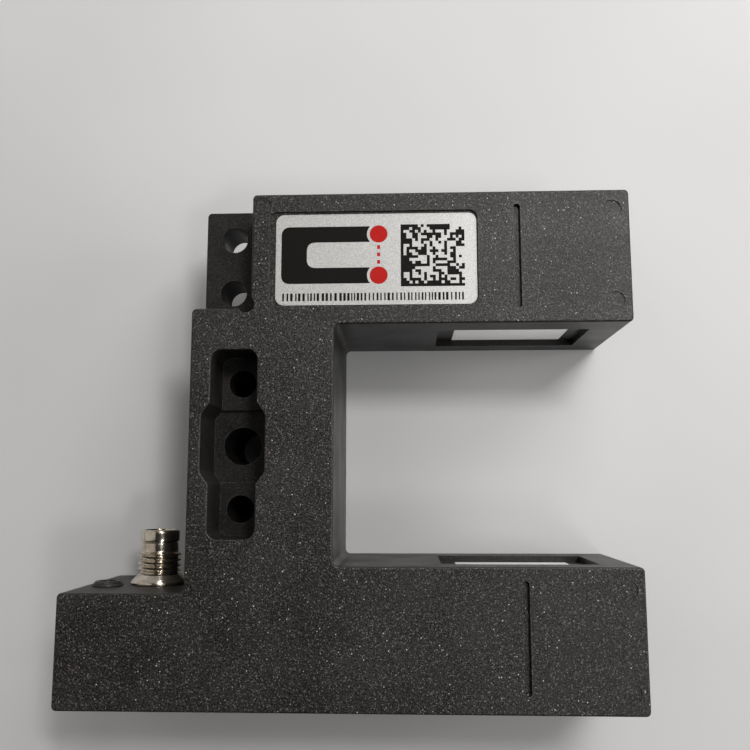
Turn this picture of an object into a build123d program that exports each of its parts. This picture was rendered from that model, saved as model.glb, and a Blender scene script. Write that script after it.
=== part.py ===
"""Fork-type photoelectric sensor: a cast C-shaped housing with an emitter arm, a receiver arm and an M8 plug.

The sensor lies on its back: +X runs along the arms to their tips, +Y up the column, +Z out of the labelled
front face.  The origin is the centre of the back face.  All sizes are in millimetres.
"""

from build123d import *
import os

os.makedirs("parts", exist_ok=True)

# ---------------------------------------------------------------- driving dimensions: casting
thickness = 30.0            # front face to back face
arm_height = 24.0           # each arm, across the beam
throat_height = 42.0        # clear gap between the arms
throat_depth = 52.5         # arm tip to the inside of the column
column_width = 25.5
extension_length = 22.0     # foot that carries the plug, left of the column
extension_height = 19.4
tab_width = 10.6            # mounting tab beside the upper arm
tab_height = 21.0
tab_thickness = 10.0
tab_front_inset = 10.0      # tab face below the front face
wall = 2.2                  # side walls of the casting
front_wall = 2.4
corner_radius = 0.8         # upright outer corners
throat_radius = 1.0         # upright corners at the root of the gap
edge_radius = 0.35          # rounding round the front and back faces

# driving dimensions: fastening pocket in the column
pocket_offset = 7.8         # pocket centre from the column's outer side
pocket_length = 33.0
pocket_width = 8.2
pocket_depth = 9.75
pocket_corner = 1.8
mouth_radius = 0.3          # rounded mouth of the pocket
waist_width = 11.25         # wider middle stretch of the pocket
waist_length = 10.0
waist_ramp = 2.05           # length of each slanted shoulder
waist_floor_length = 13.4
waist_depth = 10.85
waist_radius = 1.5
column_hole_spacing = 23.2
column_hole_radius = 2.55
column_hole_shift = 0.25    # hole line from the pocket's centre, away from the gap
centre_hole_radius = 3.5
tab_hole_radius = 2.5
tab_hole_spacing = 10.5
tab_hole_inset = 5.35       # hole line from the tab's outer side
tab_hole_drop = 5.4         # upper hole from the top
relief_radius = 1.6         # clearance scoop where tab, column and arm meet
relief_step = 0.93          # scoop centre from the arm's end wall
relief_rise = 0.8           # scoop centre above the column's shoulder

# driving dimensions: front-face details
label_length = 36.0
label_height = 16.7
label_thickness = 0.15
label_corner = 1.5
label_recess_depth = 0.5
label_recess_length = 37.35
label_recess_height = 17.4
label_recess_left = 3.15    # recess edge from the upper arm's end wall
label_recess_top = 3.3      # recess edge below the top
label_left = 1.15           # label edge inside the recess
label_bottom = 0.2          # label edge above the recess's lower edge
groove_width = 1.2          # beam-line grooves
groove_depth = 0.9
groove_shift = 0.2          # groove from the beam, towards the column
groove_end_gap = 2.3        # groove end from the gap side of the arm
upper_groove_length = 18.95
lower_groove_length = 18.7
upper_groove_start = 2.65
mark_radius = 1.75          # ejector-pin marks
mark_depth = 0.25
mark_inset_x = 3.1
mark_inset_y = 3.7
corner_mark_x = 1.7         # mark beside the tab, from the arm's end wall
corner_mark_y = 2.3

# driving dimensions: optics
optics_tip_gap = 1.0        # optics board to the screw bosses at the arm tips
beam_back_shift = 0.5       # beam axis behind mid-thickness
recess_margin = 2.95        # sunk field past each end of the window
recess_shift = 0.35         # sunk field's centre from the beam, towards the column
receiver_recess_extra = 1.6  # the receiver's field reaches nearer to the front
recess_width = 17.2
recess_depth = 1.25
window_length = 21.8
window_flange = 1.2         # flange of the pane behind the wall
window_flange_thickness = 1.5
seal_thickness = 0.4
holder_wall = 1.2
lens_rib_width = 1.2
lens_rib_thickness = 1.0
lens_gap = 0.9              # pane flange to the lens rib
lens_edge_thickness = 1.6
lens_bulge = 2.6
board_thickness = 1.6
board_wall_gap = 1.0        # optics board to the arm's outer wall
board_edge = 0.5            # optics board past the holder
board_tail = 7.7            # optics board past the holder towards the column
optics_board_lip = 0.2      # optics board past the holder towards the back
optics_board_rise = 2.1     # optics board past the flex towards the front
post_size = 3.2             # screw posts in two corners of the holder
post_length = 7.0
optics_screw_radius = 0.8
optics_screw_length = 6.0
optics_screw_head_radius = 1.5
optics_screw_head_height = 0.8

# driving dimensions: rear cover
ledge_width = 1.1
cover_thickness = 2.0
gasket_thickness = 0.5
boss_radius = 2.3
cover_screw_radius = 1.0
cover_screw_length = 8.0
cover_screw_head_radius = 1.9
cover_screw_head_height = 1.1
socket_radius = 0.75        # hexagon socket of every small screw
socket_depth = 0.7
boss_inset = 1.6            # boss centre from the inside walls
column_boss_shift = 0.95    # middle boss past the pillar's side
foot_boss_shift = 1.25      # lower left boss short of the pillar's side

# driving dimensions: main board and what stands on it
standoff_height = 2.8
standoff_radius = 2.0
standoff_end_inset = 5.8    # end standoff from the extension's inner end
standoff_low_inset = 6.3    # end standoff from the bottom wall
standoff_high_inset = 3.7   # the other two below the extension's top wall
standoff_column_shift = 8.0
standoff_throat_shift = 5.5
main_board_edge_gap = 0.8
main_board_left_gap = 1.0
main_board_end_gap = 4.5    # main board to the optics boards
boss_gap = 0.4              # notches of the main board round the bosses
board_screw_head_radius = 1.6
board_screw_head_height = 1.1
board_screw_length = 5.0
header_length = 5.0
header_height = 3.0
header_drop = 6.2           # height of the board-to-flex headers over the main board
flex_thickness = 0.3
flex_width = 4.6
flex_margin = 0.8           # flex edge from the main board
flex_bend = 3.0
flex_entry = 2.0            # length inside a header
flex_wall_gap = 2.3         # flex to the column's inner wall

header_breadth = 5.0
header_lip = 0.9            # header past the flex's edges
header_inset = 1.0          # header from the end of its board
emitter_header_drop = 7.4   # main-board header of the emitter below the board's upper edge
diode_width = 3.5
diode_height = 1.2
diode_dome_radius = 1.1
photodiode_length = 6.0
photodiode_width = 4.4
photodiode_height = 1.2
photodiode_rim = 0.8
photodiode_sink = 0.3
capacitor_radius = 1.5
capacitor_height = 3.2
chip_chamfer = 0.2

# driving dimensions: plug and status light
plug_inset = 13.3           # plug axis from the extension's end
plug_height = 10.05
plug_thread_radius = 4.0    # M8 x 1
plug_thread_depth = 0.55
plug_pitch = 1.0
plug_thread_turns = 4
plug_thread_start = 2.1
plug_neck_step = 0.58       # the next steps are all inside the thread's outer radius
plug_collar_step = 0.4
plug_shank_step = 0.15
plug_bore_step = 1.05
plug_collar_length = 2.15
plug_flange_lip = 1.2       # flange past the thread
plug_flange_rim = 0.5
plug_flange_height = 1.9
plug_socket_depth = 6.4
plug_tail_length = 8.0      # below the extension's top face
plug_chamfer = 0.2
thread_crest = 0.12         # flat crest, as a share of the pitch
insert_overhang = 0.6       # insert past the shell's inner end
nut_wall = 1.5              # nut's flats past the thread
nut_thickness = 2.4
o_ring_section = 0.8
o_ring_width = 0.9
pin_radius = 0.5
pin_spacing = 2.4
pin_recess = 1.6            # pin tips below the mouth
pin_tail = 1.6              # pins past the insert's inner end
lead_radius = 0.35
lead_drop = 2.2
lead_bend = 1.2
light_inset = 4.85          # status light axis from the extension's end
light_forward = 3.8         # status light in front of mid-thickness
bezel_foot_radius = 2.8
bezel_top_radius = 2.15
bezel_rim = 0.25
bezel_height = 0.95
light_pipe_radius = 1.5
light_pipe_sink = 0.3
light_pipe_length = 3.6
status_led_width = 3.0
status_led_depth = 2.0

# clearances
slip = 0.1                  # between pieces that drop into each other
snug = 0.05                 # round a shank, a pin or a pane

# ---------------------------------------------------------------- derived planes of the casting
width = extension_length + column_width + throat_depth
height = 2 * arm_height + throat_height
x_left = -width / 2
x_right = width / 2
y_bottom = -height / 2
y_top = height / 2
x_throat = x_right - throat_depth
x_column = x_throat - column_width
x_arm = x_column + tab_width
y_upper = throat_height / 2
y_lower = -throat_height / 2
y_extension = y_bottom + extension_height
y_shoulder = y_top - tab_height
y_recess_bottom = y_top - label_recess_top - label_recess_height
z_tab_front = thickness - tab_front_inset
z_cavity = thickness - front_wall
z_ledge = cover_thickness + gasket_thickness
pocket_x = x_column + pocket_offset
x_pillar = pocket_x + waist_width / 2 + wall
optics_length = window_length + 2 * window_flange
optics_width = recess_width + 2 * window_flange
beam_x = x_right - wall - boss_inset - boss_radius - optics_tip_gap - board_edge - optics_length / 2
beam_z = thickness / 2 - beam_back_shift
recess_length = window_length + 2 * recess_margin
recess_x = beam_x - recess_shift
groove_x = beam_x - groove_shift
field_top = {"emitter": beam_z + recess_width / 2, "receiver": beam_z + recess_width / 2 + receiver_recess_extra}
plug_root_radius = plug_thread_radius - plug_thread_depth
plug_neck_radius = plug_thread_radius - plug_neck_step
plug_collar_radius = plug_thread_radius - plug_collar_step
plug_shank_radius = plug_thread_radius - plug_shank_step
plug_bore_radius = plug_thread_radius - plug_bore_step
plug_flange_radius = plug_thread_radius + plug_flange_lip
o_ring_outer_radius = plug_thread_radius + o_ring_width
nut_across_flats = 2 * (plug_thread_radius + nut_wall)
plug_x = x_left + plug_inset
plug_z = thickness / 2
light_x = x_left + light_inset
light_z = thickness / 2 + light_forward
z_board = z_cavity - standoff_height - board_thickness      # component side of the main board
flex_z_high = z_board - flex_margin
flex_z_low = flex_z_high - flex_width
flex_x = x_throat - wall - flex_wall_gap
seal_start = wall
flange_start = seal_start + seal_thickness
holder_start = flange_start + window_flange_thickness
optics_board_start = arm_height - wall - board_wall_gap - board_thickness
bore_x = optics_length / 2 - holder_wall                    # half sizes of the lens holder's bore
bore_z = optics_width / 2 - holder_wall
optics_screw_points = [
    (beam_x + way * (bore_x - post_size / 2), beam_z + way * (bore_z - post_size / 2)) for way in (-1, 1)
]
lens_start = holder_start + lens_gap + lens_rib_thickness
header_start = optics_board_start - header_height
slit = flex_thickness + 2 * snug                            # mouth of every header
flex_reach = header_start + header_height / 2               # flex plane from the gap side of an arm
optics_board_left = beam_x - optics_length / 2 - board_tail
optics_board_right = beam_x + optics_length / 2 + board_edge
optics_header_left = optics_board_left + header_inset
optics_board_low = beam_z - optics_width / 2 - optics_board_lip
optics_board_high = max(flex_z_high + optics_board_rise, beam_z + optics_width / 2)

cover_screw_points = [
    (x_right - wall - boss_inset, y_top - wall - boss_inset),
    (x_right - wall - boss_inset, y_upper + wall + boss_inset),
    (x_arm + wall + boss_inset, y_top - wall - boss_inset),
    (x_pillar + column_boss_shift, 0),
    (x_right - wall - boss_inset, y_lower - wall - boss_inset),
    (x_right - wall - boss_inset, y_bottom + wall + boss_inset),
    (x_pillar - foot_boss_shift, y_bottom + wall + boss_inset),
    (x_left + wall + boss_inset, y_bottom + wall + boss_inset),
]
standoff_points = [
    (x_left + wall + standoff_end_inset, y_bottom + wall + standoff_low_inset),
    (x_column + standoff_column_shift, y_extension - wall - standoff_high_inset),
    (x_throat + standoff_throat_shift, y_extension - wall - standoff_high_inset),
]
marks = [
    (x_right - mark_inset_x, y_top - mark_inset_y),
    (x_right - mark_inset_x, y_upper + mark_inset_y),
    (x_arm + corner_mark_x, y_top - corner_mark_y),
    (x_right - mark_inset_x, y_lower - mark_inset_y),
    (x_right - mark_inset_x, y_bottom + mark_inset_y),
]
arms = {"emitter": 1, "receiver": -1}                       # the emitter looks down, the receiver looks up
screw_up = (Align.CENTER, Align.CENTER, Align.MIN)
screw_down = (Align.CENTER, Align.CENTER, Align.MAX)


def block(low, high, mode=Mode.ADD):
    """Box between two opposite corners, given in any order."""
    centre = [(a + b) / 2 for a, b in zip(low, high)]
    size = [abs(b - a) for a, b in zip(low, high)]
    with Locations(tuple(centre)):
        Box(*size, mode=mode)


def in_arm(side, reach):
    """Y of a plane that lies `reach` inside an arm, measured from its gap side."""
    return side * (throat_height / 2 + reach)


def finish(piece, name):
    """Label a finished piece and write it to its own file."""
    piece.part.label = name
    export_step(piece.part, f"parts/{name}.step")


# ---------------------------------------------------------------- shared outlines
with BuildSketch() as cavity_outline:
    with BuildLine():
        Polyline(
            (x_left + wall, y_bottom + wall),
            (x_right - wall, y_bottom + wall),
            (x_right - wall, y_lower - wall),
            (x_throat - wall, y_lower - wall),
            (x_throat - wall, y_upper + wall),
            (x_right - wall, y_upper + wall),
            (x_right - wall, y_top - wall),
            (x_arm + wall, y_top - wall),
            (x_arm + wall, y_upper + wall),
            (x_pillar, y_upper + wall),
            (x_pillar, y_lower - wall),
            (x_column + wall, y_lower - wall),
            (x_column + wall, y_extension - wall),
            (x_left + wall, y_extension - wall),
            close=True,
        )
    make_face()

with BuildSketch() as seat_outline:
    add(cavity_outline.sketch)
    offset(amount=ledge_width, kind=Kind.INTERSECTION)

with BuildSketch() as plate_outline:
    add(cavity_outline.sketch)
    offset(amount=ledge_width - slip, kind=Kind.INTERSECTION)

with BuildSketch() as pocket_outline:
    with BuildLine():
        half = [
            (pocket_width / 2, pocket_length / 2),
            (pocket_width / 2, waist_length / 2 + waist_ramp),
            (waist_width / 2, waist_length / 2),
            (waist_width / 2, -waist_length / 2),
            (pocket_width / 2, -waist_length / 2 - waist_ramp),
            (pocket_width / 2, -pocket_length / 2),
        ]
        right = [(pocket_x + x, y) for x, y in half]
        left = [(pocket_x - x, y) for x, y in reversed(half)]
        Polyline(*right, *left, close=True)
    make_face()
    by_height = pocket_outline.vertices().group_by(Axis.Y)
    fillet(by_height[0] + by_height[-1], pocket_corner)
    waist_corners = pocket_outline.vertices().filter_by_position(
        Axis.Y, -waist_length / 2 - waist_ramp, waist_length / 2 + waist_ramp
    )
    fillet(waist_corners, waist_radius)

# ---------------------------------------------------------------- housing
with BuildPart() as housing:
    with BuildSketch() as outline:
        with BuildLine():
            Polyline(
                (x_left, y_bottom),
                (x_right, y_bottom),
                (x_right, y_lower),
                (x_throat, y_lower),
                (x_throat, y_upper),
                (x_right, y_upper),
                (x_right, y_top),
                (x_arm, y_top),
                (x_arm, y_shoulder),
                (x_column, y_shoulder),
                (x_column, y_extension),
                (x_left, y_extension),
                close=True,
            )
        make_face()
        roots = outline.vertices().filter_by_position(Axis.X, x_throat - snug, x_throat + snug)
        fillet(roots, throat_radius)
        corners = [v for v in outline.vertices() if abs(v.X - x_throat) > 2 * throat_radius]
        # the corner between arm and shoulder stays sharp: the relief scoop takes it away
        notch = outline.vertices().sort_by_distance((x_arm, y_shoulder))[0]
        fillet([v for v in corners if v != notch], corner_radius)
    extrude(amount=thickness)
    fillet(housing.faces().sort_by(Axis.Z)[-1].edges(), edge_radius)
    fillet(housing.faces().sort_by(Axis.Z)[0].edges(), edge_radius)

    # mounting tab, tied into the arm's end wall and the column's shoulder
    with BuildSketch(Plane.XY.offset(z_tab_front - tab_thickness)) as tab:
        with Locations((x_column, y_top)):
            Rectangle(tab_width + wall / 2, tab_height + wall / 2, align=(Align.MIN, Align.MAX))
        fillet(tab.vertices().group_by(Axis.X)[0], corner_radius)
    extrude(amount=tab_thickness)
    with BuildSketch(Plane.XY.offset(z_tab_front)):
        with Locations((x_arm - relief_step, y_shoulder + relief_rise)):
            Circle(relief_radius)
    extrude(amount=tab_front_inset, mode=Mode.SUBTRACT)
    with BuildSketch(Plane.XY.offset(z_tab_front)):
        with Locations((x_column + tab_hole_inset, y_top - tab_hole_drop - tab_hole_spacing / 2)):
            with GridLocations(0, tab_hole_spacing, 1, 2):
                Circle(tab_hole_radius)
    extrude(amount=-tab_thickness, mode=Mode.SUBTRACT)

    # stepped fastening pocket with its three through holes
    with BuildSketch(Plane.XY.offset(thickness)):
        add(pocket_outline.sketch)
    extrude(amount=-pocket_depth, mode=Mode.SUBTRACT)
    with BuildSketch(Plane.XY.offset(thickness)):
        add(pocket_outline.sketch)
        with Locations((pocket_x, 0)):
            Rectangle(waist_width, waist_floor_length, mode=Mode.INTERSECT)
    extrude(amount=-waist_depth, mode=Mode.SUBTRACT)
    front = housing.faces().filter_by_position(Axis.Z, thickness - snug, thickness + snug).sort_by(SortBy.AREA)[-1]
    fillet(front.inner_wires()[0].edges(), mouth_radius)
    with BuildSketch():
        with Locations((pocket_x - column_hole_shift, 0)):
            Circle(centre_hole_radius)
            with GridLocations(0, column_hole_spacing, 1, 2):
                Circle(column_hole_radius)
    extrude(amount=thickness, mode=Mode.SUBTRACT)

    # label field, beam-line grooves and ejector-pin marks in the front face
    with BuildSketch(Plane.XY.offset(thickness)):
        with Locations((x_arm + label_recess_left, y_top - label_recess_top)):
            RectangleRounded(
                label_recess_length,
                label_recess_height,
                label_corner,
                align=(Align.MIN, Align.MAX),
            )
    extrude(amount=-label_recess_depth, mode=Mode.SUBTRACT)
    with BuildSketch(Plane.XY.offset(thickness)):
        with Locations((groove_x, y_upper + upper_groove_start + upper_groove_length / 2)):
            SlotOverall(upper_groove_length, groove_width, rotation=90)
        with Locations((groove_x, y_lower - groove_end_gap - lower_groove_length / 2)):
            SlotOverall(lower_groove_length, groove_width, rotation=90)
    extrude(amount=-groove_depth, mode=Mode.SUBTRACT)
    with BuildSketch(Plane.XY.offset(thickness)):
        with Locations(*marks):
            Circle(mark_radius)
    extrude(amount=-mark_depth, mode=Mode.SUBTRACT)

    # inside: cavity from the back, ledge for the cover, bosses and standoffs
    with BuildSketch():
        add(cavity_outline.sketch)
    extrude(amount=z_cavity, mode=Mode.SUBTRACT)
    with BuildSketch():
        add(seat_outline.sketch)
    extrude(amount=z_ledge, mode=Mode.SUBTRACT)
    with Locations(*[(x, y, z_ledge) for x, y in cover_screw_points]):
        Cylinder(boss_radius, thickness - z_ledge - front_wall / 2, align=screw_up)
    with Locations(*[(x, y, z_cavity + front_wall / 2) for x, y in standoff_points]):
        Cylinder(standoff_radius, standoff_height + front_wall / 2, align=screw_down)
    with Locations(*[(x, y, z_ledge) for x, y in cover_screw_points]):
        Cylinder(cover_screw_radius + snug, cover_screw_length, align=screw_up, mode=Mode.SUBTRACT)
    with Locations(*[(x, y, z_board) for x, y in standoff_points]):
        Cylinder(cover_screw_radius + snug, board_screw_length + slip, align=screw_up, mode=Mode.SUBTRACT)

    # sunk window fields and their openings
    for arm, side in arms.items():
        block(
            (recess_x - recess_length / 2, in_arm(side, -wall), beam_z - recess_width / 2),
            (recess_x + recess_length / 2, in_arm(side, recess_depth), field_top[arm]),
            Mode.SUBTRACT,
        )
        block(
            (beam_x - window_length / 2, in_arm(side, 0), beam_z - recess_width / 2),
            (beam_x + window_length / 2, in_arm(side, wall + slip), field_top[arm]),
            Mode.SUBTRACT,
        )

    # plug and status-light holes through the top of the extension
    with BuildSketch(Plane.XZ.offset(-y_extension)):
        with Locations((plug_x, plug_z)):
            Circle(plug_thread_radius + slip)
        with Locations((light_x, light_z)):
            Circle(light_pipe_radius + snug)
    extrude(amount=wall, mode=Mode.SUBTRACT)
    with BuildSketch(Plane.XZ.offset(-y_extension)):
        with Locations((plug_x, plug_z)):
            Circle(o_ring_outer_radius + snug)
    extrude(amount=o_ring_section, mode=Mode.SUBTRACT)
finish(housing, "housing")

# ---------------------------------------------------------------- rear cover, gasket and screws
with BuildPart() as rear_cover:
    with BuildSketch():
        add(plate_outline.sketch)
    extrude(amount=cover_thickness)
    chamfer(rear_cover.faces().sort_by(Axis.Z)[0].edges(), edge_radius / 2)
    with Locations(*[(x, y, 0) for x, y in cover_screw_points]):
        Cone(
            cover_screw_head_radius + slip,
            cover_screw_radius + slip,
            cover_screw_head_height,
            align=screw_up,
            mode=Mode.SUBTRACT,
        )
        Cylinder(cover_screw_radius + slip, cover_thickness, align=screw_up, mode=Mode.SUBTRACT)
finish(rear_cover, "rear_cover")

with BuildPart() as cover_gasket:
    with BuildSketch(Plane.XY.offset(cover_thickness)):
        add(plate_outline.sketch)
        add(cavity_outline.sketch, mode=Mode.SUBTRACT)
        with Locations(*cover_screw_points):
            Circle(boss_radius)
        add(plate_outline.sketch, mode=Mode.INTERSECT)
        with Locations(*cover_screw_points):
            Circle(cover_screw_radius + slip, mode=Mode.SUBTRACT)
    extrude(amount=gasket_thickness)
finish(cover_gasket, "cover_gasket")

with BuildPart() as cover_screws:
    with Locations(*[(x, y, 0) for x, y in cover_screw_points]):
        Cylinder(cover_screw_radius, cover_screw_length, align=screw_up)
        Cone(cover_screw_head_radius, cover_screw_radius, cover_screw_head_height, align=screw_up)
        Cylinder(socket_radius, socket_depth, align=screw_up, mode=Mode.SUBTRACT)
finish(cover_screws, "cover_screws")

# ---------------------------------------------------------------- label
with BuildPart() as type_label:
    with BuildSketch(Plane.XY.offset(thickness - label_recess_depth)):
        with Locations((x_arm + label_recess_left + label_left, y_recess_bottom + label_bottom)):
            RectangleRounded(label_length, label_height, label_corner, align=(Align.MIN, Align.MIN))
    extrude(amount=label_thickness)
finish(type_label, "type_label")

# ---------------------------------------------------------------- optics of both arms
for arm, side in arms.items():
    with BuildPart() as window:
        block(
            (beam_x - window_length / 2 + snug, in_arm(side, recess_depth), beam_z - recess_width / 2 + snug),
            (beam_x + window_length / 2 - snug, in_arm(side, flange_start), field_top[arm] - snug),
        )
        block(
            (beam_x - optics_length / 2, in_arm(side, flange_start), beam_z - optics_width / 2),
            (beam_x + optics_length / 2, in_arm(side, holder_start), field_top[arm] + window_flange),
        )
    finish(window, f"{arm}_window")

    with BuildPart() as window_seal:
        block(
            (beam_x - optics_length / 2, in_arm(side, seal_start), beam_z - optics_width / 2),
            (beam_x + optics_length / 2, in_arm(side, flange_start), field_top[arm] + window_flange),
        )
        block(
            (beam_x - window_length / 2, in_arm(side, seal_start), beam_z - recess_width / 2),
            (beam_x + window_length / 2, in_arm(side, flange_start), field_top[arm]),
            Mode.SUBTRACT,
        )
    finish(window_seal, f"{arm}_window_seal")

    with BuildPart() as lens_holder:
        block(
            (beam_x - optics_length / 2, in_arm(side, holder_start), beam_z - optics_width / 2),
            (beam_x + optics_length / 2, in_arm(side, optics_board_start), beam_z + optics_width / 2),
        )
        block(
            (beam_x - bore_x + lens_rib_width, in_arm(side, holder_start), beam_z - bore_z + lens_rib_width),
            (beam_x + bore_x - lens_rib_width, in_arm(side, lens_start), beam_z + bore_z - lens_rib_width),
            Mode.SUBTRACT,
        )
        block(
            (beam_x - bore_x, in_arm(side, lens_start), beam_z - bore_z),
            (beam_x + bore_x, in_arm(side, optics_board_start), beam_z + bore_z),
            Mode.SUBTRACT,
        )
        post_foot = in_arm(side, optics_board_start - post_length)
        post_top = in_arm(side, optics_board_start)
        for way in (-1, 1):
            block(
                (beam_x + way * bore_x, post_foot, beam_z + way * bore_z),
                (beam_x + way * (bore_x - post_size), post_top, beam_z + way * (bore_z - post_size)),
            )
        with BuildSketch(Plane.XZ.offset(-in_arm(side, optics_board_start))):
            with Locations(*optics_screw_points):
                Circle(optics_screw_radius + snug)
        extrude(amount=side * optics_screw_length, mode=Mode.SUBTRACT)
    finish(lens_holder, f"{arm}_lens_holder")

    with BuildPart() as lens:
        with BuildSketch(Plane.XY.offset(beam_z - bore_z + slip)):
            half_lens = bore_x - slip
            lens_flat = in_arm(side, lens_start)
            lens_shoulder = in_arm(side, lens_start + lens_edge_thickness)
            lens_crown = in_arm(side, lens_start + lens_edge_thickness + lens_bulge)
            with BuildLine():
                Polyline(
                    (beam_x - half_lens, lens_shoulder),
                    (beam_x - half_lens, lens_flat),
                    (beam_x + half_lens, lens_flat),
                    (beam_x + half_lens, lens_shoulder),
                )
                ThreePointArc(
                    (beam_x + half_lens, lens_shoulder),
                    (beam_x, lens_crown),
                    (beam_x - half_lens, lens_shoulder),
                )
            make_face()
        extrude(amount=2 * (bore_z - slip))
    finish(lens, f"{arm}_lens")

    with BuildPart() as optics_board:
        block(
            (optics_board_left, in_arm(side, optics_board_start), optics_board_low),
            (optics_board_right, in_arm(side, optics_board_start + board_thickness), optics_board_high),
        )
        with BuildSketch(Plane.XZ.offset(-in_arm(side, optics_board_start))):
            with Locations(*optics_screw_points):
                Circle(optics_screw_radius + slip)
        extrude(amount=-side * board_thickness, mode=Mode.SUBTRACT)
    finish(optics_board, f"{arm}_board")

    with BuildPart() as board_screws:
        board_back = Plane.XZ.offset(-in_arm(side, optics_board_start + board_thickness))
        with BuildSketch(board_back):
            with Locations(*optics_screw_points):
                Circle(optics_screw_radius)
        extrude(amount=side * optics_screw_length)
        with BuildSketch(board_back):
            with Locations(*optics_screw_points):
                Circle(optics_screw_head_radius)
        extrude(amount=-side * optics_screw_head_height)
    finish(board_screws, f"{arm}_board_screws")

    with BuildPart() as board_header:
        block(
            (optics_header_left, in_arm(side, header_start), flex_z_low - header_lip),
            (optics_header_left + header_length, in_arm(side, optics_board_start), flex_z_high + header_lip),
        )
        block(
            (optics_header_left, in_arm(side, flex_reach - slit / 2), flex_z_low - snug),
            (optics_header_left + flex_entry, in_arm(side, flex_reach + slit / 2), flex_z_high + snug),
            Mode.SUBTRACT,
        )
    finish(board_header, f"{arm}_board_header")

# light source and light receiver, on the inner faces of their boards
with BuildPart() as emitter_diode:
    emitter_face = in_arm(1, optics_board_start)
    block(
        (beam_x - diode_width / 2, emitter_face - diode_height, beam_z - diode_width / 2),
        (beam_x + diode_width / 2, emitter_face, beam_z + diode_width / 2),
    )
    with Locations((beam_x, emitter_face - diode_height, beam_z)):
        Sphere(diode_dome_radius)
finish(emitter_diode, "emitter_diode")

with BuildPart() as receiver_photodiode:
    receiver_face = in_arm(-1, optics_board_start)
    photodiode_top = receiver_face + photodiode_height
    half_length = photodiode_length / 2
    half_width = photodiode_width / 2
    well_length = half_length - photodiode_rim
    well_width = half_width - photodiode_rim
    block(
        (beam_x - half_length, receiver_face, beam_z - half_width),
        (beam_x + half_length, photodiode_top, beam_z + half_width),
    )
    block(
        (beam_x - well_length, photodiode_top - photodiode_sink, beam_z - well_width),
        (beam_x + well_length, photodiode_top, beam_z + well_width),
        Mode.SUBTRACT,
    )
finish(receiver_photodiode, "receiver_photodiode")

# ---------------------------------------------------------------- main board
main_board_left = x_left + wall + main_board_left_gap
main_board_right = optics_board_left - main_board_end_gap
main_board_low = y_bottom + wall + main_board_edge_gap
main_board_high = y_extension - wall - main_board_edge_gap
with BuildPart() as main_board:
    block(
        (main_board_left, main_board_low, z_board),
        (main_board_right, main_board_high, z_board + board_thickness),
    )
    with Locations(*[(x, y, z_board) for x, y in cover_screw_points]):
        Cylinder(boss_radius + boss_gap, board_thickness, align=screw_up, mode=Mode.SUBTRACT)
    with Locations(*[(x, y, z_board) for x, y in standoff_points]):
        Cylinder(cover_screw_radius + slip, board_thickness, align=screw_up, mode=Mode.SUBTRACT)
finish(main_board, "main_board")

with BuildPart() as main_board_screws:
    with Locations(*[(x, y, z_board) for x, y in standoff_points]):
        Cylinder(cover_screw_radius, board_screw_length, align=screw_up)
        Cylinder(board_screw_head_radius, board_screw_head_height, align=screw_down)
    with Locations(*[(x, y, z_board - board_screw_head_height) for x, y in standoff_points]):
        Cylinder(socket_radius, socket_depth, align=screw_up, mode=Mode.SUBTRACT)
finish(main_board_screws, "main_board_screws")

emitter_header_low = main_board_high - emitter_header_drop
emitter_header_high = emitter_header_low + header_length
receiver_header_right = main_board_right - header_inset
with BuildPart() as main_board_headers:
    block(
        (flex_x - header_breadth / 2, emitter_header_low, z_board - header_drop),
        (flex_x + header_breadth / 2, emitter_header_high, z_board),
    )
    block(
        (flex_x - slit / 2, emitter_header_high - flex_entry, flex_z_low - snug),
        (flex_x + slit / 2, emitter_header_high, flex_z_high + snug),
        Mode.SUBTRACT,
    )
    receiver_header_left = receiver_header_right - header_length
    block(
        (receiver_header_left, in_arm(-1, flex_reach - header_breadth / 2), z_board - header_drop),
        (receiver_header_right, in_arm(-1, flex_reach + header_breadth / 2), z_board),
    )
    block(
        (receiver_header_right - flex_entry, in_arm(-1, flex_reach - slit / 2), flex_z_low - snug),
        (receiver_header_right, in_arm(-1, flex_reach + slit / 2), flex_z_high + snug),
        Mode.SUBTRACT,
    )
finish(main_board_headers, "main_board_headers")

# flat flexible cables from the main board to both optics boards
with BuildPart() as emitter_flex:
    with BuildSketch(Plane.XY.offset(flex_z_low)):
        with BuildLine():
            FilletPolyline(
                (flex_x, emitter_header_high - flex_entry),
                (flex_x, in_arm(1, flex_reach)),
                (optics_header_left + flex_entry, in_arm(1, flex_reach)),
                radius=flex_bend,
            )
        trace(line_width=flex_thickness)
    extrude(amount=flex_width)
finish(emitter_flex, "emitter_flex")

with BuildPart() as receiver_flex:
    block(
        (receiver_header_right - flex_entry, in_arm(-1, flex_reach - flex_thickness / 2), flex_z_low),
        (optics_header_left + flex_entry, in_arm(-1, flex_reach + flex_thickness / 2), flex_z_high),
    )
finish(receiver_flex, "receiver_flex")

# components, all on the cavity side of the main board
# centre on the board, then length, breadth and height of each package
chips = {
    "processor_chip": (x_column + 3.0, main_board_low + 4.2, 7.0, 7.0, 1.0),
    "voltage_regulator": (x_pillar - 5.2, main_board_low + 5.5, 4.0, 3.4, 1.5),
    "output_driver": (x_throat - 5.5, main_board_low + 2.6, 5.0, 4.0, 1.6),
}
for name, (x, y, length, breadth, rise) in chips.items():
    with BuildPart() as chip:
        block((x - length / 2, y - breadth / 2, z_board - rise), (x + length / 2, y + breadth / 2, z_board))
        chamfer(chip.faces().sort_by(Axis.Z)[0].edges(), chip_chamfer)
    finish(chip, name)

capacitor_points = [
    (x_column + 2.5, main_board_high - 2.6),
    (x_pillar - 2.2, main_board_high - 2.6),
    (x_throat + 0.5, main_board_high - 5.4),
]
with BuildPart() as board_capacitors:
    with Locations(*[(x, y, z_board) for x, y in capacitor_points]):
        Cylinder(capacitor_radius, capacitor_height, align=screw_down)
finish(board_capacitors, "board_capacitors")

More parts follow.
